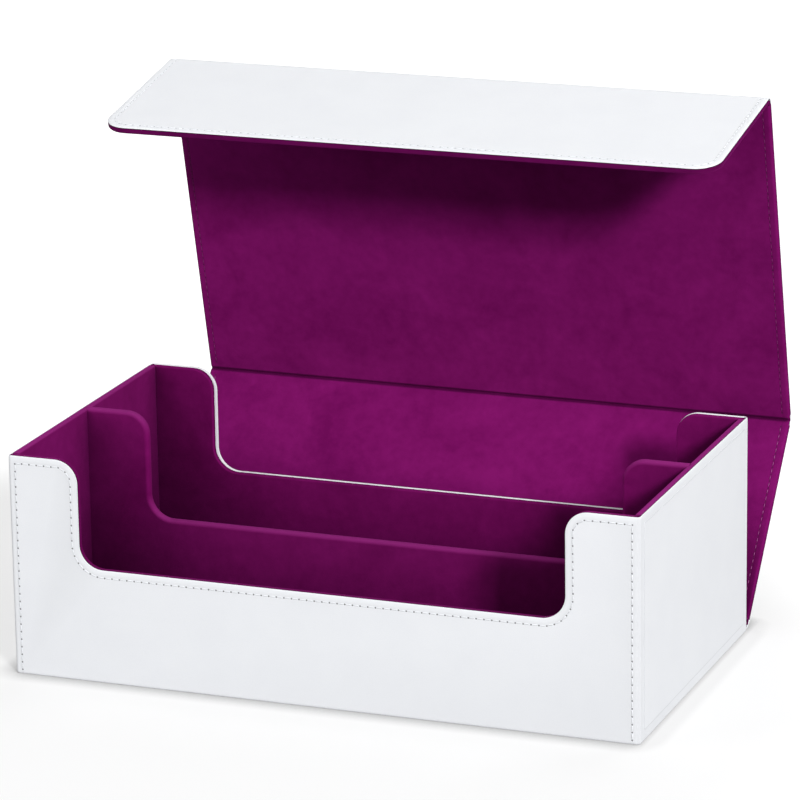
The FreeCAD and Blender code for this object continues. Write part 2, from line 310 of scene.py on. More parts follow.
def newMaterial(name, **settings):
    material = bpy.data.materials.new(name)
    material.use_nodes = True
    tree = material.node_tree
    shader = tree.nodes["Principled BSDF"]
    for title, value in settings.items():
        shader.inputs[title.replace("_", " ")].default_value = value
    place = addNode(tree, "ShaderNodeTexCoord").outputs["Object"]
    return material, tree, shader, place


def useGroup(tree, group, place, **values):
    node = addNode(tree, "ShaderNodeGroup", node_tree=group)
    for name, value in values.items():
        node.inputs[name].default_value = value
    link(tree, place, node.inputs["Vector"])
    return node


def mixColours(tree, factor, first, second, low=0.0, high=1.0):
    # first at the low end of the factor, second at the high end
    ramp = addNode(tree, "ShaderNodeMapRange", {"From Min": low, "From Max": high})
    mix = addNode(tree, "ShaderNodeMix", data_type="RGBA")
    mix.inputs["A"].default_value = (*first, 1)
    mix.inputs["B"].default_value = (*second, 1)
    link(tree, factor, ramp.inputs["Value"])
    link(tree, ramp.outputs["Result"], mix.inputs["Factor"])
    return mix.outputs["Result"]


def addBump(tree, shader, height, strength, distance):
    bump = addNode(tree, "ShaderNodeBump", {"Strength": strength, "Distance": distance})
    link(tree, height, bump.inputs["Height"])
    link(tree, bump.outputs["Normal"], shader.inputs["Normal"])


def makeWhiteLeather():
    look = {
        "colour": (0.806, 0.820, 0.850), "pale": (0.820, 0.834, 0.862), "crease": (0.755, 0.768, 0.80),
        "paintedShade": (0.61, 0.62, 0.645),    # painted shade for the right corner and the side patches' edges
        "creaseShare": 0.22, "roughness": (0.46, 0.54), "bump": (0.12, 0.06 * mm),
    }
    material, tree, shader, place = newMaterial("whiteLeather", Specular_IOR_Level=0.45)
    grain = useGroup(tree, leatherGrain, place)
    ground = mixColours(tree, grain.outputs["Patch"], look["colour"], look["pale"], 0.35, 0.65)
    mix = addNode(tree, "ShaderNodeMix", data_type="RGBA")
    mix.inputs["B"].default_value = (*look["crease"], 1)
    soft = addNode(tree, "ShaderNodeMath", {1: look["creaseShare"]}, operation="MULTIPLY")
    link(tree, grain.outputs["Crease"], soft.inputs[0])
    link(tree, soft.outputs[0], mix.inputs["Factor"])
    link(tree, ground, mix.inputs["A"])
    # painted shade, where the skins and patches carry the mark
    paintedShade = addNode(tree, "ShaderNodeAttribute", attribute_name="paintedShade")
    paintedShadeMix = addNode(tree, "ShaderNodeMix", data_type="RGBA")
    paintedShadeMix.inputs["B"].default_value = (*look["paintedShade"], 1)
    link(tree, paintedShade.outputs["Fac"], paintedShadeMix.inputs["Factor"])
    link(tree, mix.outputs["Result"], paintedShadeMix.inputs["A"])
    link(tree, paintedShadeMix.outputs["Result"], shader.inputs["Base Color"])
    silky, dull = look["roughness"]
    rough = addNode(tree, "ShaderNodeMapRange", {"To Min": silky, "To Max": dull})
    link(tree, grain.outputs["Patch"], rough.inputs["Value"])
    link(tree, rough.outputs["Result"], shader.inputs["Roughness"])
    addBump(tree, shader, grain.outputs["Height"], *look["bump"])
    return material


def makeMicrofibre(name, dark, light):
    look = {
        # painted sheen: a lighter colour on tops and rims, where light falls
        "paintedSheen": (0.235, 0.020, 0.158),
        "reach": 80 * mm, "open": 0.78, "deep": 0.33, "darkest": 0.20,    # painted shade: darker in corners, folds and hollows, by ambient occlusion
        "paintedSeamShade": 0.35,                                                   # painted shade in seams, creases and on rolled edges
        "bump": (0.35, 0.25 * mm),
    }
    material, tree, shader, place = newMaterial(
        name, Roughness=0.95, Specular_IOR_Level=0.0, Sheen_Weight=0.22, Sheen_Roughness=0.45,
        Sheen_Tint=(0.65, 0.06, 0.45, 1))
    pile = useGroup(tree, nap, place)
    ground = mixColours(tree, pile.outputs["Stroke"], dark, light, 0.34, 0.66)
    sheenMark = addNode(tree, "ShaderNodeAttribute", attribute_name="paintedSheen")
    paintedSeamShade = addNode(tree, "ShaderNodeAttribute", attribute_name="paintedSeamShade")
    mix = addNode(tree, "ShaderNodeMix", data_type="RGBA")
    mix.inputs["B"].default_value = (*look["paintedSheen"], 1)
    link(tree, sheenMark.outputs["Fac"], mix.inputs["Factor"])
    link(tree, ground, mix.inputs["A"])
    hollow = addNode(tree, "ShaderNodeAmbientOcclusion", {"Distance": look["reach"]}, samples=8)
    depth = addNode(tree, "ShaderNodeMapRange", {
        "From Min": look["deep"], "From Max": look["open"], "To Min": look["darkest"],
    })
    sunk = addNode(tree, "ShaderNodeMapRange", {"To Min": 1.0, "To Max": look["paintedSeamShade"]})
    shade = addNode(tree, "ShaderNodeMath", operation="MULTIPLY")
    shaded = addNode(tree, "ShaderNodeVectorMath", operation="SCALE")
    link(tree, hollow.outputs["AO"], depth.inputs["Value"])
    link(tree, paintedSeamShade.outputs["Fac"], sunk.inputs["Value"])
    link(tree, depth.outputs["Result"], shade.inputs[0])
    link(tree, sunk.outputs["Result"], shade.inputs[1])
    link(tree, mix.outputs["Result"], shaded.inputs[0])
    link(tree, shade.outputs[0], shaded.inputs["Scale"])
    link(tree, shaded.outputs[0], shader.inputs["Base Color"])
    addBump(tree, shader, pile.outputs["Height"], *look["bump"])
    return material


def makeThread(name, colour, shade):
    material, tree, shader, place = newMaterial(name, Roughness=0.7, Specular_IOR_Level=0.15)
    twist = addNode(tree, "ShaderNodeTexNoise", {"Scale": 2600.0, "Detail": 2.0})
    link(tree, place, twist.inputs["Vector"])
    link(tree, mixColours(tree, twist.outputs["Fac"], shade, colour, 0.35, 0.6), shader.inputs["Base Color"])
    addBump(tree, shader, twist.outputs["Fac"], 0.5, 0.08 * mm)
    return material


def makeGreyBoard():
    material, tree, shader, place = newMaterial("greyBoard", Roughness=0.9, Specular_IOR_Level=0.2)
    pulp = addNode(tree, "ShaderNodeTexNoise", {"Scale": 900.0, "Detail": 6.0, "Roughness": 0.7})
    link(tree, place, pulp.inputs["Vector"])
    colour = mixColours(tree, pulp.outputs["Fac"], (0.17, 0.16, 0.145), (0.33, 0.315, 0.29), 0.3, 0.7)
    link(tree, colour, shader.inputs["Base Color"])
    addBump(tree, shader, pulp.outputs["Fac"], 0.4, 0.15 * mm)
    return material


def makePlating():
    material, tree, shader, place = newMaterial("magnetPlating", Metallic=1.0)
    wear = addNode(tree, "ShaderNodeTexNoise", {"Scale": 700.0, "Detail": 5.0})
    link(tree, place, wear.inputs["Vector"])
    colour = mixColours(tree, wear.outputs["Fac"], (0.55, 0.54, 0.52), (0.72, 0.71, 0.69), 0.35, 0.6)
    rough = addNode(tree, "ShaderNodeMapRange", {"To Min": 0.18, "To Max": 0.42})
    link(tree, colour, shader.inputs["Base Color"])
    link(tree, wear.outputs["Fac"], rough.inputs["Value"])
    link(tree, rough.outputs["Result"], shader.inputs["Roughness"])
    return material


whiteLeather = makeWhiteLeather()
coverPile = makeMicrofibre("coverMicrofibre", (0.144, 0.0040, 0.089), (0.206, 0.0075, 0.130))
# a darker copy of the cover's microfibre for the bays: painted shade
shadedBayPile = makeMicrofibre("shadedBayMicrofibre", (0.114, 0.0026, 0.067), (0.162, 0.0048, 0.098))
whiteThread = makeThread("whiteThread", (0.77, 0.785, 0.81), (0.66, 0.67, 0.695))
mauveThread = makeThread("mauveThread", (0.36, 0.08, 0.27), (0.24, 0.030, 0.17))
# the lid's thread is a darker copy of the mauve thread: painted shade
shadedThread = makeThread("shadedThread", (0.23, 0.028, 0.16), (0.16, 0.012, 0.11))
# needle holes are flat discs of painted shade; the pale one is for the cover's leather
holeShade = makeThread("holeShade", (0.26, 0.26, 0.27), (0.16, 0.16, 0.17))
paleHoleShade = makeThread("paleHoleShade", (0.52, 0.53, 0.55), (0.40, 0.41, 0.43))
pitShade = makeThread("pitShade", (0.10, 0.005, 0.065), (0.06, 0.003, 0.04))
greyBoard = makeGreyBoard()
magnetPlating = makePlating()
print("materials made")


def dress(piece, material, body=None, replaces=()):
    piece.data.materials.clear()
    piece.data.materials.append(material)
    if replaces:
        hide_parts(*replaces)
    if body:
        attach(piece, body)
    return piece


edgeRoll = {
    "drop": 0.40 * mm,        # how far the turned edge falls away
    "rings": [(0.10, 0.15), (0.25, 0.12), (0.50, 0.08), (0.95, 0.05)],
    "footLength": 1.0 * mm,   # the same at the foot, where the skin is turned under the base
    "footDepth": 0.35 * mm,
}
seam = {
    "inset": 3.6 * mm,        # stitch line, in from the edge
    "width": 0.8 * mm,        # flat bottom of its groove
    "bank": 0.4 * mm,         # each side of the groove
    "depth": 0.12 * mm,
    "pitch": 3.7 * mm,
    "stitch": (2.9 * mm, 0.55 * mm, 0.42 * mm),
    "hole": 0.42 * mm,
    "liningDepth": 0.12 * mm,
    "liningStitch": (1.9 * mm, 0.40 * mm, 0.30 * mm),
    "threadRise": 0.10 * mm,  # middle of the thread over the bottom of the groove
    "aboveFoot": 1.9 * mm,    # where the thread starts on a wall
    "pastFold": 1.8 * mm,     # and on a panel of the cover
    "roundSides": 8,          # of a stitch and of its hole
    "stitchRings": 6,
}


def seamRings(reached, inset, depth):
    # from the rings already made to the far bank of the groove
    flat = inset - reached - seam["width"] / 2 - seam["bank"]
    return [(flat, 0), (seam["bank"], -depth), (seam["width"], 0), (seam["bank"], depth)]


leatherRings = [(inward * mm, rise * mm) for inward, rise in edgeRoll["rings"]]
leatherReach = sum(inward for inward, rise in leatherRings)
stitchedLeather = leatherRings + seamRings(leatherReach, seam["inset"], seam["depth"])


def cutPlate(name, y, facing, rise, rim, foot, lap=0):
    # upright plate with the finger cut-out, standing rise short of the finished face, drawn back by the lap
    turn = -facing * math.pi / 2
    width, low, top = box["halfX"] + oversize, foot - oversize, rim - lap
    cutX, floor = box["cutX"] + lap, box["cutFloor"] - lap
    centre = (0, y - facing * rise, (top + low) / 2)
    plate = addPlane(name, centre, (2 * width, top - low), (turn, 0, 0))
    for side in (-1, 1):
        cutAcross(plate, (side * cutX, 0, 0), (1, 0, 0))
    cutAcross(plate, (0, 0, floor), (0, 0, 1))
    pick(plate, "FACE", lambda at, normal: abs(at.x) < cutX and at.z > floor)
    bpy.ops.mesh.delete(type="FACE")
    done()
    pick(plate, "FACE", anyFace)
    bpy.ops.mesh.dissolve_faces()
    done()
    for level, radius in ((top, box["cutTopRadius"] - lap), (floor, box["cutFootRadius"] + lap)):
        pick(plate, "VERT", lambda at: abs(abs(at.x) - cutX) < tiny and abs(at.z - level) < tiny)
        bpy.ops.mesh.bevel(offset=radius, segments=box["arcSteps"], affect="VERTICES", clamp_overlap=False)
        done()
    return plate


def onCutRim(y, lap=0):
    # edges of the plate's outline along the rim and round the cut-out
    def test(start, end):
        middle = (start + end) / 2
        flat = abs(start.y - y) < tiny and abs(end.y - y) < tiny
        return flat and middle.z > box["cutFloor"] - lap - tiny
    return test


def paintedCornerShade(vertex):
    # painted shade: most in the middle of the right corner, 0 on the flat faces beside it
    return max(0, -box["cornerShade"] * vertex.normal.x * vertex.normal.y)


turnedEdge = {"depth": 1.4 * mm, "roll": 0.5 * mm, "reach": 2.2 * mm}    # the skin over the rim of its board


def turnedRim(name):
    # the front skin's edge, turned over the board and down behind it, along the rim and round the cut-out
    y, roll = turnedEdge["depth"] - box["halfY"], turnedEdge["roll"]
    corner, foot = box["halfX"] - box["cornerRadius"], box["foot"]
    rim = cutPlate(name, y, 1, roll, box["rim"], foot)
    addRings(rim, quarterRoll(roll) + [(turnedEdge["reach"], 0)])
    middle = max(rim.data.polygons, key=lambda face: face.area).center.copy()
    pick(rim, "FACE", lambda at, normal: (at - middle).length < tiny)
    bpy.ops.mesh.delete(type="FACE")
    done()
    cutAcross(rim, (0, 0, foot), (0, 0, -1), trim=True)
    for side in (-1, 1):
        cutAcross(rim, (side * corner, 0, 0), (side, 0, 0), trim=True)
    extrude(rim, onCutRim(y - roll), (0, edgeRoll["drop"] - box["halfY"] - y + roll, 0))
    return rim


def joinPieces(piece, other):
    only(piece)
    other.select_set(True)
    bpy.ops.object.join()


def wallSkin(name, turnedOver=False):
    # the front skin: face, both corners and the sides back to the middle
    halfX, halfY, rim, radius = box["halfX"], box["halfY"], box["rim"], box["cornerRadius"]
    foot, corner = box["foot"], halfX - radius
    skin = cutPlate(name, -halfY, -1, edgeRoll["drop"], rim, foot)
    addRings(skin, stitchedLeather)
    cutAcross(skin, (0, 0, foot), (0, 0, -1), trim=True)
    for side in (-1, 1):
        cutAcross(skin, (side * corner, 0, 0), (side, 0, 0), trim=True)
    line = halfX - seam["inset"]
    half, bank = seam["width"] / 2, seam["bank"]
    for side in (-1, 1):
        for off in (-half - bank, -half, half, half + bank):
            cutAcross(skin, (side * (line + off), 0, 0), (1, 0, 0))
    top = rim - seam["inset"]

    def underRim(at):
        # the grooves beside the corners, below the one along the rim
        inFront = at.z < top - half - tiny and at.y < -halfY + tiny
        return inFront and abs(abs(at.x) - line) < half + tiny

    def pastGroove(at):
        return abs(at.x) > line + half + bank - tiny and abs(at.z - top) < half + tiny

    pick(skin, "VERT", underRim)
    bpy.ops.transform.translate(value=(0, seam["depth"], 0))
    done()
    pick(skin, "VERT", pastGroove)
    bpy.ops.transform.translate(value=(0, -seam["depth"], 0))
    done()
    for side in (-1, 1):
        pick(skin, "EDGE", lambda start, end: min(side * start.x, side * end.x) > corner - tiny)
        centre = (side * corner, radius - halfY, 0)
        bpy.ops.mesh.spin(steps=box["cornerSteps"], angle=-side * math.pi / 2, center=centre, axis=(0, 0, 1))
        done()

        def atSide(start, end):
            pastCorner = min(side * start.x, side * end.x) > corner + tiny
            return pastCorner and min(start.y, end.y) > -halfY + radius - tiny

        extrude(skin, atSide, (0, halfY - radius, 0))
    if turnedOver:
        joinPieces(skin, turnedRim("turned_rim"))
    faceOut(skin, Vector((0, -1, 0)))
    rollOff(skin, (0, 0, foot), (0, 0, -1), edgeRoll["footLength"], edgeRoll["footDepth"])
    mark(skin, "paintedShade", paintedCornerShade)
    thicken(skin, box["leather"] - edgeRoll["drop"])
    return smooth(skin)


turned = Matrix.Rotation(math.pi, 4, "Z")


def copyOf(piece, name, matrix):
    twin = piece.copy()
    twin.data = piece.data.copy()
    twin.name = twin.data.name = name
    bpy.context.scene.collection.objects.link(twin)
    return moveMesh(twin, matrix)


frontSkin = wallSkin("front_skin")
backSkin = moveMesh(wallSkin("back_skin", turnedOver=True), turned)
for piece, node in ((frontSkin, "front_leather"), (backSkin, "back_leather")):
    dress(piece, whiteLeather, "box", [node])
print("skins made", len(frontSkin.data.polygons))

liningForm = {
    "rollRadius": 0.8 * mm,
    "rollSteps": 5,
    "dividerRoll": 1.9 * mm,
    "dividerRollSteps": 6,
    "endLength": 1.4 * mm,    # where a lining meets the next one in a corner
    "endDepth": 0.6 * mm,
    "endPlug": 4.0 * mm,      # end of the divider's cloth, closed down to here
    "endReach": 0.8 * mm,     # and pressed into the side lining
    "cornerLength": 3.0 * mm,
    "cutShade": 0.45,         # painted shade round the cut-out
    "frontPaintedSheen": 0.15,     # painted sheen along the top of a wall
    # painted sheen along the top of a side
    "sidePaintedSheen": 0.9,
}


def endShare(along, half, length):
    # 1 at the end of a lining, where painted shade darkens it in the corner
    return max(0, 1 - (half - abs(along)) / length)


def wallLining(name, lap):
    # inner face of the front wall, rolled over the rim to meet the leather, which stands past it by the lap
    roll, foot, side = liningForm["rollRadius"], bayLow.z, box["halfX"] - box["leather"]
    face, edge = box["wall"] - box["halfY"], box["leather"] - box["halfY"]
    piece = cutPlate(name, face, 1, roll, box["rim"], foot, lap)
    addRings(piece, quarterRoll(roll))
    cutAcross(piece, (0, 0, foot), (0, 0, -1), trim=True)
    for way in (-1, 1):
        cutAcross(piece, (way * side, 0, 0), (way, 0, 0), trim=True)
    extrude(piece, onCutRim(face - roll, lap), (0, edge - face + roll, 0))
    corner = liningForm["cornerLength"]
    for way in (-1, 1):
        cutAcross(piece, (way * (side - corner), 0, 0), (way, 0, 0))
    faceOut(piece, Vector((0, 1, 0)))
    mark(piece, "paintedSheen", lambda vertex: liningForm["frontPaintedSheen"] * max(vertex.normal.z, 0))
    # painted shade at both ends and round the cut-out
    mark(piece, "paintedSeamShade", lambda vertex: max(
        endShare(vertex.co.x, side, corner),
        liningForm["cutShade"] * (vertex.co.y < face - roll + tiny and vertex.co.z < box["rim"] - lap - tiny),
    ))
    thicken(piece, box["lining"])
    return smooth(piece)


frontLining = wallLining("front_lining_cloth", 0)
backLining = wallLining("back_lining_cloth", box["backLap"])
backLining = moveMesh(backLining, Matrix.Translation(box["backShift"]) @ turned)
for piece, node in ((frontLining, "front_lining"), (backLining, "back_lining")):
    dress(piece, shadedBayPile, "box", [node])


def tuckEnds(piece, axis, half, depth):
    # sinks both ends of a lining
    for way in (-1, 1):
        end, outward = Vector((0, 0, 0)), Vector((0, 0, 0))
        end[axis], outward[axis] = way * half, way
        rollOff(piece, end, outward, liningForm["endLength"], depth)


def sideLining(name):
    # left side: face to the bays, rolled over the rim
    edge, face = -(box["halfX"] - box["leather"]), -(box["halfX"] - box["wall"])
    half, rim, foot = box["halfY"] - box["wall"], box["rim"], bayLow.z
    piece = addPlane(name, (face, 0, (rim + foot) / 2), (rim - foot, 2 * half), (0, math.pi / 2, 0))

    def onRim(start, end):
        return min(start.z, end.z) > rim - tiny

    extrude(piece, onRim, (edge - face, 0, 0))
    pick(piece, "EDGE", lambda start, end: onRim(start, end) and min(start.x, end.x) > face - tiny)
    bpy.ops.mesh.bevel(offset=liningForm["rollRadius"], segments=liningForm["rollSteps"], affect="EDGES")
    done()
    faceOut(piece, Vector((1, 0, 0)))
    tuckEnds(piece, 1, half, liningForm["endDepth"])
    mark(piece, "paintedSheen", lambda vertex: liningForm["sidePaintedSheen"] * max(vertex.normal.z, 0))
    mark(piece, "paintedSeamShade", lambda vertex: endShare(vertex.co.y, half, liningForm["endLength"]))
    thicken(piece, box["lining"])
    return smooth(piece)


leftLining = sideLining("left_lining_cloth")
rightLining = copyOf(leftLining, "right_lining_cloth", turned)
for piece, node in ((leftLining, "left_lining"), (rightLining, "right_lining")):
    dress(piece, shadedBayPile, "box", [node])


def stopEnd(piece, x, low):
    # closes the end of the cloth above this height, so that no board shows over the side's rim
    cutAcross(piece, (0, 0, low), (0, 0, 1))
    pick(piece, "FACE", lambda at, normal: abs(at.x - x) < tiny and at.z > low)
    bpy.ops.mesh.delete(type="FACE")
    done()

    def roundOpening(start, end):
        return max(abs(start.x - x), abs(end.x - x)) < tiny and min(start.z, end.z) > low - tiny

    pick(piece, "EDGE", roundOpening)
    bpy.ops.mesh.edge_face_add()
    done()


def dividerCloth(name):
    # one face and half the rim, mirrored
    roll, half, rim, foot = liningForm["dividerRoll"], dividerHigh.y, dividerHigh.z, dividerLow.z
    end = dividerHigh.x + liningForm["endReach"]
    piece = cutPlate(name, -half, -1, roll, rim, foot)
    addRings(piece, quarterRoll(roll, liningForm["dividerRollSteps"]))
    cutAcross(piece, (0, 0, foot), (0, 0, -1), trim=True)
    for side in (-1, 1):
        cutAcross(piece, (side * end, 0, 0), (side, 0, 0), trim=True)
    extrude(piece, onCutRim(-half + roll), (0, half - roll, 0))
    faceOut(piece, Vector((0, -1, 0)))
    # painted sheen, lightest where the cloth faces up
    mark(piece, "paintedSheen", lambda vertex: max(vertex.normal.z, 0))
    applyModifier(piece, "MIRROR", use_axis=(False, True, False), use_clip=True,
                  merge_threshold=weld["mirror"])
    thicken(piece, box["lining"])
    for side in (-1, 1):
        stopEnd(piece, side * end, rim - liningForm["endPlug"])
    return smooth(piece)


dress(dividerCloth("divider_cloth"), shadedBayPile, "box", ["divider_lining"])
print("linings made")


def sidePatch(name):
    low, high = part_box("left_side_patch")
    form = {
        "radius": 1.5 * mm, "radiusSteps": 5, "inlet": 0.2 * mm,
        "roll": [(0.05, 0.05), (0.15, 0.03), (0.3, 0.02)],
    }
    rings = [(inward * mm, rise * mm) for inward, rise in form["roll"]]
    rise = sum(step for inward, step in rings)
    low.x += form["inlet"]          # let in to the leather around it
    centre = (low + high) / 2
    piece = addPlane(name, (low.x + rise, centre.y, centre.z), (high.z - low.z, high.y - low.y),
                     (0, -math.pi / 2, 0))
    pick(piece, "VERT", lambda at: True)
    bpy.ops.mesh.bevel(offset=form["radius"], segments=form["radiusSteps"], affect="VERTICES")
    done()
    addRings(piece, rings)

    def onEdge(start, end):
        return min(start.x, end.x) > low.x + rise - tiny

    extrude(piece, onEdge, (high.x - low.x - rise, 0, 0))
    pick(piece, "EDGE", lambda start, end: min(start.x, end.x) > high.x - tiny)
    bpy.ops.mesh.edge_face_add()
    done()
    # painted shade on the patch's raised edge rings
    mark(piece, "paintedShade", lambda vertex: float(vertex.co.x > low.x + rings[-1][1] - tiny / 4))
    return smooth(piece)


leftPatch = sidePatch("left_patch")
rightPatch = copyOf(leftPatch, "right_patch", turned)
for piece, node in ((leftPatch, "left_side_patch"), (rightPatch, "right_side_patch")):
    dress(piece, whiteLeather, "box", [node])
print("side patches made")


# the cover: each panel is made flat in its own frame, Y away from its fold line, Z to the lining

joints = {joint["name"]: joint for joint in frame["joints"]}
foldAt = [Vector(joints[name]["pos_m"]) for name in ("base_hinge", "rear_fold", "flap_fold")]
cover = {
    "halfX": box["halfX"] - 0.5 * mm,    # a little narrower than the box
    "board": 2.0 * mm,
    "halfGap": 3.2 * mm,            # fold line to the edge of a panel
    "flapLength": 88.8 * mm,
    "flapRadius": 12.0 * mm,
    "liningRoll": 1.2 * mm,
    "edgeShade": 0.3,               # painted shade on the lining's edges; 1 is as dark as in a seam
    # stronger painted shade on the flap's edges
    "flapShade": 0.65,
    "creaseWidth": 1.3 * mm,        # sunk middle of the lining across a fold
    "creaseDepth": 1.1 * mm,
    # painted shade in the crease
    "creaseShade": 0.75,
    "bendSteps": 28,
}
cover["inner"] = cover["board"] + box["lining"]


def leaning(start, end):
    return math.atan2(end.z - start.z, end.y - start.y)


flapTurn = math.pi / 2 - math.radians(joints["flap_fold"]["range_deg"][1])
lean = [leaning(foldAt[0], foldAt[1]), leaning(foldAt[1], foldAt[2])]
lean.append(lean[1] + flapTurn)
lengths = [(foldAt[1] - foldAt[0]).length, (foldAt[2] - foldAt[1]).length, cover["flapLength"]]
places = [Matrix.Translation(at) @ Matrix.Rotation(turn, 4, "X") for at, turn in zip(foldAt, lean)]
panelNames = ("back", "lid", "flap")
flipped = Matrix.Rotation(math.pi, 4, "Y")


def coverPlate(name, low, high, level, rings, free=False):
    # plate in the panel's frame; a free end has round corners
    piece = addPlane(name, (0, (low + high) / 2, level), (2 * cover["halfX"], high - low))
    if free:
        pick(piece, "VERT", lambda at: at.y > high - tiny)
        bpy.ops.mesh.bevel(offset=cover["flapRadius"], segments=box["arcSteps"], affect="VERTICES")
        done()
    addRings(piece, rings)
    return piece


def trimEnds(piece, low, high=None):
    cutAcross(piece, (0, low, 0), (0, -1, 0), trim=True)
    if high is not None:
        cutAcross(piece, (0, high, 0), (0, 1, 0), trim=True)


skinLevel = box["leather"] - edgeRoll["drop"]


def coverSkin(index):
    # the leather of one panel, made face up and turned over
    free = index == 2
    end = lengths[index] if free else lengths[index] - cover["halfGap"]
    skin = coverPlate(f"cover_{panelNames[index]}_skin", cover["halfGap"] - oversize,
                      end if free else end + oversize, skinLevel, stitchedLeather, free)
    trimEnds(skin, cover["halfGap"], None if free else end)
    thicken(skin, skinLevel)
    return smooth(moveMesh(skin, places[index] @ flipped))


liningLevel = cover["inner"] - cover["liningRoll"]
stitchedLining = quarterRoll(cover["liningRoll"]) \
    + seamRings(cover["liningRoll"], seam["inset"], seam["liningDepth"])


def edgeShade(vertex, most):
    # painted shade where the lining turns over the edge of the board
    return most * min(1, (cover["inner"] - vertex.co.z) / cover["liningRoll"])


def coverCloth(index):
    # the lining of one panel, rolled down over the sides of its board
    free = index == 2
    end = lengths[index] if free else lengths[index] - cover["halfGap"]
    cloth = coverPlate(f"cover_{panelNames[index]}_cloth", cover["halfGap"] - oversize,
                       end if free else end + oversize, liningLevel, stitchedLining, free)
    trimEnds(cloth, cover["halfGap"], None if free else end)
    extrude(cloth, lambda start, end: max(start.z, end.z) < liningLevel + tiny, (0, 0, -liningLevel))
    faceOut(cloth, Vector((0, 0, 1)))
    most = cover["flapShade"] if free else cover["edgeShade"]
    mark(cloth, "paintedSeamShade", lambda vertex: edgeShade(vertex, most))
    thicken(cloth, box["lining"])
    return smooth(moveMesh(cloth, places[index]))


def bendUp(piece, radius):
    # wraps the flat piece round a bar of this radius that lies above its middle surface
    for vertex in piece.data.vertices:
        turn, reach = vertex.co.y / radius, radius - vertex.co.z
        vertex.co.y = reach * math.sin(turn)
        vertex.co.z = radius - reach * math.cos(turn)


def bendSteps(strip, length):
    for step in range(1, cover["bendSteps"]):
        cutAcross(strip, (0, length * step / cover["bendSteps"], 0), (0, 1, 0))


def foldSkin(name, turn):
    # the leather across one fold, from the end of the panel before it
    radius = cover["halfGap"] / math.tan(turn / 2)
    length = radius * turn
    strip = coverPlate(name, -oversize, length + oversize, skinLevel, stitchedLeather)
    trimEnds(strip, 0, length)
    bendSteps(strip, length)
    thicken(strip, skinLevel)
    moveMesh(strip, flipped)
    bendUp(strip, radius)
    return strip


def foldCloth(name, turn):
    # the lining across one fold: it lies along the inside of the turn, with a crease down the middle
    radius = cover["halfGap"] / math.tan(turn / 2)
    inner = radius - cover["inner"]
    length = radius * turn
    strip = coverPlate(name, -oversize, length + oversize, liningLevel, stitchedLining)
    trimEnds(strip, 0, length)
    bendSteps(strip, length)

    def sunk(vertex):
        # 1 in the crease, 0 beside it
        away = (vertex.co.y / length - 0.5) * turn * inner / (cover["creaseWidth"] / 2)
        return math.exp(-away ** 2)

    # painted shade in the crease and on the rolled edges
    def paintedSeamShade(vertex):
        return max(cover["creaseShade"] * sunk(vertex), edgeShade(vertex, cover["edgeShade"]))

    mark(strip, "paintedSeamShade", paintedSeamShade)
    for vertex in strip.data.vertices:
        vertex.co.z -= cover["creaseDepth"] * sunk(vertex)
    thicken(strip, box["lining"])
    bendUp(strip, radius)
    return strip


for index, name in enumerate(panelNames):
    body = f"cover_{name}"
    dress(coverSkin(index), whiteLeather, body, [f"{body}_leather"])
    dress(coverCloth(index), coverPile, body, [f"{body}_lining"])

flatTurn = Matrix.Translation(foldAt[0])
folds = [
    ("base_hinge", flatTurn, -cover["halfGap"], lean[0], "box", "cover_back"),
    ("rear_fold", places[0], lengths[0] - cover["halfGap"], lean[1] - lean[0], "cover_back", "cover_lid"),
    ("flap_fold", places[1], lengths[1] - cover["halfGap"], flapTurn, "cover_lid", "cover_flap"),
]
for name, place, start, turn, before, after in folds:
    skin, cloth = foldSkin(f"{name}_skin", turn), foldCloth(f"{name}_cloth", turn)
    for piece in (skin, cloth):
        smooth(moveMesh(piece, place @ Matrix.Translation((0, start, 0))))
    dress(skin, whiteLeather, None, [f"{name}_leather"])
    dress(cloth, coverPile, None, [f"{name}_lining"])
    last = place @ Vector((0, start + cover["halfGap"], 0)) \
        + place.to_3x3() @ Matrix.Rotation(turn, 3, "X") @ Vector((0, cover["halfGap"], 0))
    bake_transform(skin)
    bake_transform(cloth)
print("cover made")


def roundedPath(corners, radii):
    # points along straight runs joined by arcs
    points = [Vector(corners[0])]
    for before, corner, after, radius in zip(corners, corners[1:], corners[2:], radii):
        corner = Vector(corner)
        inward = (Vector(before) - corner).normalized()
        outward = (Vector(after) - corner).normalized()
        centre = corner + (inward + outward) * radius
        for step in range(box["arcSteps"] + 1):
            turn = math.pi / 2 * step / box["arcSteps"]
            points.append(centre - radius * (outward * math.cos(turn) + inward * math.sin(turn)))
    points.append(Vector(corners[-1]))
    return points


def stitchPlaces(points, pitch):
    # evenly spaced matrices along the path, X along it
    runs = [(b - a).length for a, b in zip(points, points[1:])]
    count = round(sum(runs) / pitch)
    spacing = sum(runs) / count
    found, run, passed = [], 0, 0.0
    for index in range(count):
        along = (index + 0.5) * spacing
        while along > passed + runs[run]:
            passed += runs[run]
            run += 1
        heading = (points[run + 1] - points[run]).normalized()
        at = points[run] + heading * (along - passed)
        turn = Matrix.Rotation(math.atan2(heading.y, heading.x), 4, "Z")
        found.append(Matrix.Translation((at.x, at.y, 0)) @ turn)
    return found, spacing


def oneStitch(size):
    bpy.ops.object.select_all(action="DESELECT")
    bpy.ops.mesh.primitive_uv_sphere_add(
        segments=seam["roundSides"], ring_count=seam["stitchRings"], radius=0.5,
        rotation=(0, math.pi / 2, 0))
    piece = bpy.context.object
    bpy.ops.object.transform_apply(location=False, rotation=True, scale=False)
    piece.scale = size
    bpy.ops.object.transform_apply(location=False, rotation=False, scale=True)
    return piece


def oneHole():
    bpy.ops.object.select_all(action="DESELECT")
    bpy.ops.mesh.primitive_circle_add(vertices=seam["roundSides"], radius=seam["hole"], fill_type="NGON")
    return bpy.context.object


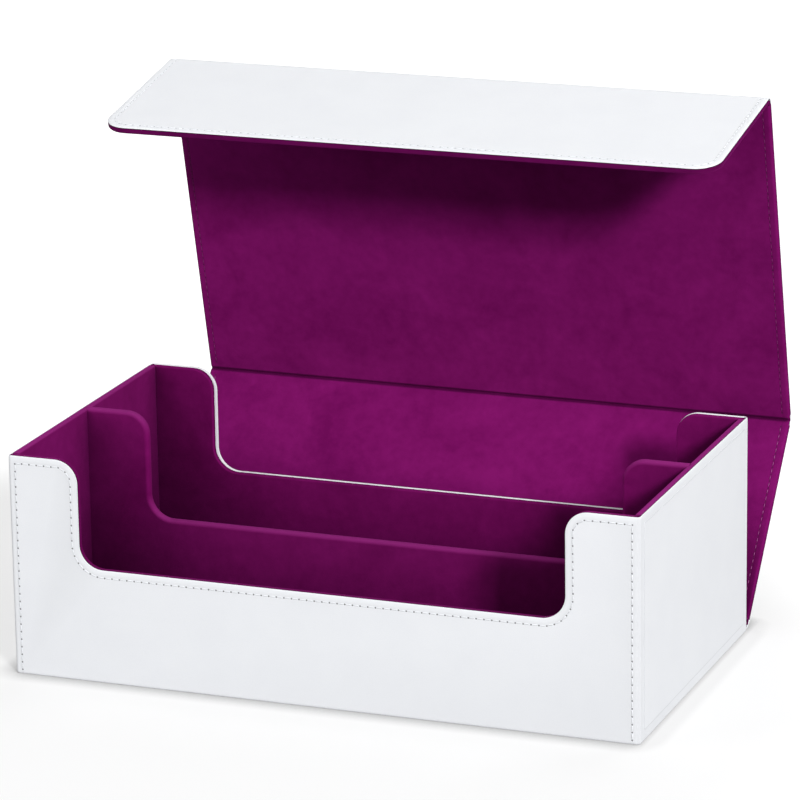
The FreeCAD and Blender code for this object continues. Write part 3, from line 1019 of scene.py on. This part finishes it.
def repeat(pattern, name, matrices):
    # one mesh of many copies
    copies = []
    for matrix in matrices:
        twin = bpy.data.objects.new(name, pattern.data.copy())
        twin.data.transform(matrix)
        bpy.context.scene.collection.objects.link(twin)
        copies.append(twin)
    bpy.ops.object.select_all(action="DESELECT")
    for twin in copies:
        twin.select_set(True)
    bpy.context.view_layer.objects.active = copies[0]
    bpy.ops.object.join()
    copies[0].name = copies[0].data.name = name
    return smooth(copies[0], 60)


hole = oneHole()
wallSewing = {
    "stitch": oneStitch(seam["stitch"]), "groove": seam["depth"],
    "thread": whiteThread, "pit": holeShade,
}
skinSewing = {**wallSewing, "pit": paleHoleShade}
clothSewing = {
    "stitch": oneStitch(seam["liningStitch"]), "groove": seam["liningDepth"],
    "thread": mauveThread, "pit": pitShade,
}
# the lid's stitches in the painted shaded thread
lidSewing = {**clothSewing, "thread": shadedThread}


def sew(name, path, face, body, sewing):
    # face turns the path's plane to the surface, Z outwards; a disc of painted shade for the hole at both
    # ends of every stitch
    matrices, spacing = stitchPlaces(path, seam["pitch"])
    depth = sewing["groove"]
    raised = Matrix.Translation((0, 0, seam["threadRise"] - depth))
    threads = [face @ matrix @ raised for matrix in matrices]
    holes = [face @ matrix @ Matrix.Translation((spacing / 2, 0, tiny - depth)) for matrix in matrices]
    holes.append(face @ matrices[0] @ Matrix.Translation((-spacing / 2, 0, tiny - depth)))
    dress(repeat(sewing["stitch"], f"{name}_stitches", threads), sewing["thread"], body)
    dress(repeat(hole, f"{name}_holes", holes), sewing["pit"], body)


def wallSeam():
    line, top = box["halfX"] - seam["inset"], box["rim"] - seam["inset"]
    cutX, floor = box["cutX"] + seam["inset"], box["cutFloor"] - seam["inset"]
    foot = box["foot"] + seam["aboveFoot"]
    half = [(-line, foot), (-line, top), (-cutX, top), (-cutX, floor)]
    other = [(-x, z) for x, z in reversed(half)]
    radii = [0, box["cutTopRadius"] - seam["inset"], box["cutFootRadius"] + seam["inset"]]
    return roundedPath(half + other, radii + radii[::-1])


upright = Matrix.Translation((0, -box["halfY"], 0)) @ Matrix.Rotation(math.pi / 2, 4, "X")
sew("front", wallSeam(), upright, "box", wallSewing)
sew("back", wallSeam(), turned @ upright, "box", wallSewing)


def coverSeams(index):
    line, low = cover["halfX"] - seam["inset"], cover["halfGap"] + seam["pastFold"]
    if index < 2:
        high = lengths[index] - low
        return [[Vector((side * line, low)), Vector((side * line, high))] for side in (-1, 1)]
    high = lengths[index] - seam["inset"]
    radius = cover["flapRadius"] - seam["inset"]
    return [roundedPath([(-line, low), (-line, high), (line, high), (line, low)], [radius, radius])]


for index, name in enumerate(panelNames):
    outside = places[index] @ flipped @ Matrix.Translation((0, 0, box["leather"]))
    inside = places[index] @ Matrix.Translation((0, 0, cover["inner"]))
    for number, path in enumerate(coverSeams(index)):
        sew(f"{name}_skin_{number}", path, outside, f"cover_{name}", skinSewing)
        sewing = lidSewing if name == "lid" else clothSewing
        sew(f"{name}_cloth_{number}", path, inside, f"cover_{name}", sewing)
for piece in (hole, wallSewing["stitch"], clothSewing["stitch"]):
    bpy.data.objects.remove(piece)
print("seams sewn")


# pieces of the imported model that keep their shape
for node in ("front_board", "back_board", "left_board", "right_board", "base_board", "divider_board",
             "cover_back_board", "cover_lid_board", "cover_flap_board"):
    dress(frame["nodes"][node], greyBoard)
for node in ("front_magnets", "flap_magnets"):
    dress(frame["nodes"][node], magnetPlating)
for node in ("front_bay_floor", "rear_bay_floor"):
    dress(frame["nodes"][node], shadedBayPile)
dress(frame["nodes"]["base_leather"], whiteLeather)


studio = {
    "floor": (0.30, 0.30, 0.302),
    "floorSize": 14,
    "glow": (0.645, 1.0),          # for the camera alone: near the box, and far off where the floor is white
    "glowFrom": 0.29,
    "glowTo": 0.44,
    "glowMiddle": (-0.10, -0.08, 0),
    "footReach": 12 * mm,          # soft shadow where the box stands, painted on the floor
    "footShadow": 0.35,
    "footFrom": 0.5,
    "clearFrom": 0.148,            # past here, to the right, that painted shadow is lightened, as if by the key lamp: painted light
    "clearTo": 0.155,
    "clearShare": 0.88,
    "aim": Vector((0, 0.03, 0.1)),
    "lamps": {                     # direction, distance, size, level (1 lights a facing white to white)
        "key": ((0.600, -0.684, 0.416), 6.0, 0.85, 0.905),
        "left": ((-1, -0.5, 0.5), 4.0, 2.5, 0.40),
        "right": ((1, -0.1, 0.35), 4.0, 2.0, 0.375),
        "front": ((0, -0.65, 0.75), 3.5, 2.0, 0.19),
        "back": ((0.1, 0.6, 1), 3.5, 2.0, 0.36),
    },
}


def makeFloor():
    bpy.ops.object.select_all(action="DESELECT")
    bpy.ops.mesh.primitive_plane_add(size=studio["floorSize"], location=(0, 0, -tiny))
    floor = bpy.context.object
    floor.name = "floor"
    material, tree, shader, place = newMaterial("paleFloor", Roughness=0.9, Specular_IOR_Level=0.0)
    shader.inputs["Base Color"].default_value = (*studio["floor"], 1)
    near, far = studio["glow"]
    rays = addNode(tree, "ShaderNodeLightPath")
    away = addNode(tree, "ShaderNodeVectorMath", {1: studio["glowMiddle"]}, operation="DISTANCE")
    rise = addNode(tree, "ShaderNodeMapRange", {
        "From Min": studio["glowFrom"], "From Max": studio["glowTo"], "To Min": near, "To Max": far,
    }, interpolation_type="SMOOTHSTEP")
    glow = addNode(tree, "ShaderNodeMath", operation="MULTIPLY")
    shader.inputs["Emission Color"].default_value = (1, 1, 1, 1)
    link(tree, place, away.inputs[0])
    link(tree, away.outputs["Value"], rise.inputs["Value"])
    link(tree, rise.outputs["Result"], glow.inputs[0])
    link(tree, rays.outputs["Is Camera Ray"], glow.inputs[1])
    foot = addNode(tree, "ShaderNodeAmbientOcclusion", {"Distance": studio["footReach"]}, samples=8)
    dim = addNode(tree, "ShaderNodeMapRange", {
        "From Min": studio["footFrom"], "To Min": studio["footShadow"],
    })
    across = addNode(tree, "ShaderNodeSeparateXYZ")
    clear = addNode(tree, "ShaderNodeMapRange", {
        "From Min": studio["clearFrom"], "From Max": studio["clearTo"], "To Max": studio["clearShare"],
    })
    lightest = addNode(tree, "ShaderNodeMath", operation="MAXIMUM")
    shaded = addNode(tree, "ShaderNodeMath", operation="MULTIPLY")
    link(tree, foot.outputs["AO"], dim.inputs["Value"])
    link(tree, place, across.inputs[0])
    link(tree, across.outputs["X"], clear.inputs["Value"])
    link(tree, dim.outputs["Result"], lightest.inputs[0])
    link(tree, clear.outputs["Result"], lightest.inputs[1])
    link(tree, glow.outputs[0], shaded.inputs[0])
    link(tree, lightest.outputs[0], shaded.inputs[1])
    link(tree, shaded.outputs[0], shader.inputs["Emission Strength"])
    floor.data.materials.append(material)


def makeWorld():
    # white for the camera alone; it lights nothing
    world = bpy.data.worlds.new("studio")
    bpy.context.scene.world = world
    world.use_nodes = True
    tree = world.node_tree
    background = tree.nodes["Background"]
    rays = addNode(tree, "ShaderNodeLightPath")
    link(tree, rays.outputs["Is Camera Ray"], background.inputs["Strength"])
    background.inputs["Color"].default_value = (1, 1, 1, 1)


def makeLamps():
    for name, (heading, distance, size, level) in studio["lamps"].items():
        away = Vector(heading).normalized()
        lamp = bpy.data.lights.new(name, "AREA")
        lamp.size = size
        lamp.energy = level * (math.pi * distance) ** 2
        holder = bpy.data.objects.new(name, lamp)
        bpy.context.scene.collection.objects.link(holder)
        holder.location = studio["aim"] + away * distance
        holder.rotation_euler = (-away).to_track_quat("-Z", "Y").to_euler()


view = {
    "place": (0.74878, -1.92496, 0.72132),
    "azimuth": 21.0117,
    "elevation": 16.1602,
    "roll": -0.8556,
    "lens": 209.03,
    "sensor": 36,
    "clip": (0.05, 40),
}


def makeCamera():
    camera = bpy.data.cameras.new("camera")
    camera.lens = view["lens"]
    camera.sensor_width = view["sensor"]
    camera.clip_start, camera.clip_end = view["clip"]
    holder = bpy.data.objects.new("camera", camera)
    bpy.context.scene.collection.objects.link(holder)
    turn = Matrix.Rotation(math.radians(view["azimuth"]), 4, "Z") \
        @ Matrix.Rotation(math.radians(90 - view["elevation"]), 4, "X") \
        @ Matrix.Rotation(math.radians(view["roll"]), 4, "Z")
    holder.matrix_world = Matrix.Translation(view["place"]) @ turn
    bpy.context.scene.camera = holder


makeFloor()
makeWorld()
makeLamps()
makeCamera()
scene = bpy.context.scene
scene.view_settings.view_transform = "Standard"
print("studio made")

bpy.context.view_layer.update()
